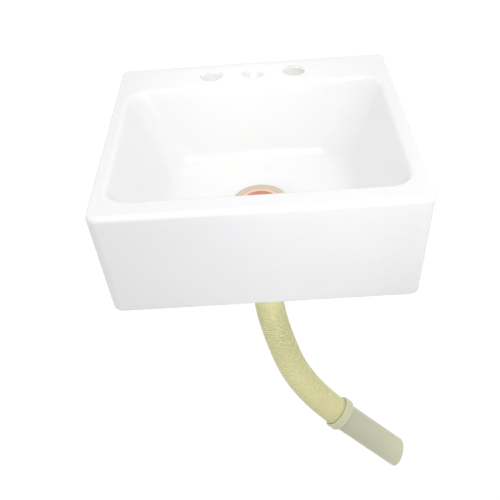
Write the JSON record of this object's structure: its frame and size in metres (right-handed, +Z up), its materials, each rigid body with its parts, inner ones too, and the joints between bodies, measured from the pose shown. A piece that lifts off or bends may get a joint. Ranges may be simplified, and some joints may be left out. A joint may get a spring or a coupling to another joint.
{
  "type": "wall-mounted bathroom sink",
  "caption": "Rectangular wall-hung bathroom sink with sloped bowl, tap deck, lift-out drain strainer, screwed drain and a ribbed waste hose ending in a plain cuff.",
  "frame": {"origin": "centre of the four wall screw holes of the two hangers, on the wall plane", "axes": "+Z up, -Y out of the wall towards the user, +X to the user's right"},
  "size_m": [0.3386, 0.3061, 0.4685],
  "materials": {
    "basin_white": "gloss white moulding",
    "hanger_steel": "zinc plated",
    "drain_plastic": "satin ivory moulding",
    "seal_rubber": "matt",
    "washer_plastic": "matt",
    "strainer_copper": "copper toned, satin",
    "clamp_steel": "stainless",
    "hose_cream": "cream, slightly translucent",
    "cuff_translucent": "translucent grey green"
  },
  "bodies": {
    "hangers": {"hanger_left": "hanger_steel", "hanger_right": "hanger_steel"},
    "basin": {"basin_shell": "basin_white", "drain_body": "drain_plastic", "flange_gasket": "seal_rubber", "under_gasket": "seal_rubber"},
    "strainer": {"strainer_basket": "strainer_copper", "strainer_knob": "strainer_copper", "knob_clip": "clamp_steel"},
    "locknut_ring": {"slip_washer": "washer_plastic"},
    "locknut": {"drain_locknut": "drain_plastic"},
    "union_ring": {"hose_seal": "seal_rubber"},
    "union_nut": {"union_nut": "drain_plastic"},
    "hose": {"hose_tail": "drain_plastic", "drain_hose": "hose_cream", "clamp_band": "clamp_steel", "clamp_housing": "clamp_steel", "clamp_screw": "clamp_steel"},
    "cuff": {"hose_cuff": "cuff_translucent"}
  },
  "joints": [
    {"name": "basin_lift", "type": "slide", "parent": "hangers", "child": "basin", "axis": [0, 0, 1], "range_m": [0, 0.016]},
    {"name": "strainer_lift", "type": "slide", "parent": "basin", "child": "strainer", "axis": [0, 0, 1], "range_m": [0, 0.06]},
    {"name": "locknut_travel", "type": "slide", "parent": "basin", "child": "locknut_ring", "axis": [0, 0, -1], "range_m": [0, 0.009]},
    {"name": "locknut_turn", "type": "hinge", "parent": "locknut_ring", "child": "locknut", "pos_m": [0, -0.1805, -0.0395], "axis": [0, 0, -1], "range_deg": [0, 1080]},
    {"name": "union_travel", "type": "slide", "parent": "basin", "child": "union_ring", "axis": [0, 0, -1], "range_m": [0, 0.006]},
    {"name": "union_turn", "type": "hinge", "parent": "union_ring", "child": "union_nut", "pos_m": [0, -0.1805, -0.068], "axis": [0, 0, -1], "range_deg": [0, 720]},
    {"name": "hose_swivel", "type": "hinge", "parent": "union_ring", "child": "hose", "pos_m": [0, -0.1805, -0.0755], "axis": [0, 0, 1], "range_deg": [-170, 80]},
    {"name": "cuff_turn", "type": "hinge", "parent": "hose", "child": "cuff", "pos_m": [0.0915, -0.2635, -0.328], "axis": [0.7537, -0.2441, -0.6102], "continuous": true}
  ],
  "couplings": [
    {"joint": "locknut_turn", "follows": "locknut_travel", "rad_per_m": 2094.4},
    {"joint": "union_turn", "follows": "union_travel", "rad_per_m": 2094.4}
  ]
}
